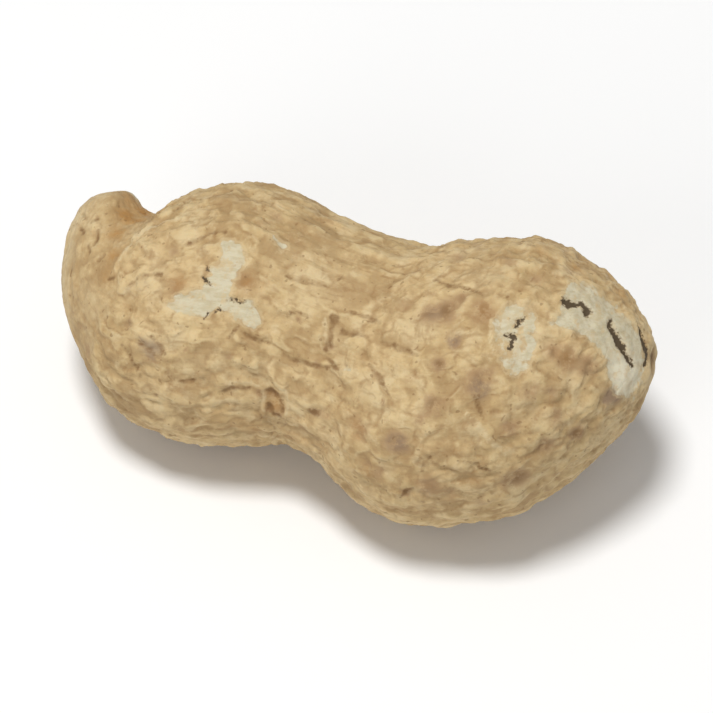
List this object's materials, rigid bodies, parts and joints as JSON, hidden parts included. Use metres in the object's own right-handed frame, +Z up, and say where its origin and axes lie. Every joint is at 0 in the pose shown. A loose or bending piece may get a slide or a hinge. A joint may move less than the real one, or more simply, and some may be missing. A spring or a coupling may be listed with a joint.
{
  "type": "peanut in shell",
  "caption": "Unshelled peanut: a bent pod with a low waist between its lobes, a hooked beak, a stem scar and a raised net of ribs and links.",
  "frame": {"origin": "middle of the footprint's bounding box, on the surface that the pod lies on", "axes": "+X along the pod from the beak to the stem scar, +Z up from the surface that the pod lies on"},
  "size_m": [0.0412, 0.02, 0.0193],
  "materials": {
    "shell": "matte, dry and fibrous"
  },
  "bodies": {
    "root": {"peanut_shell": "shell"}
  },
  "joints": []
}
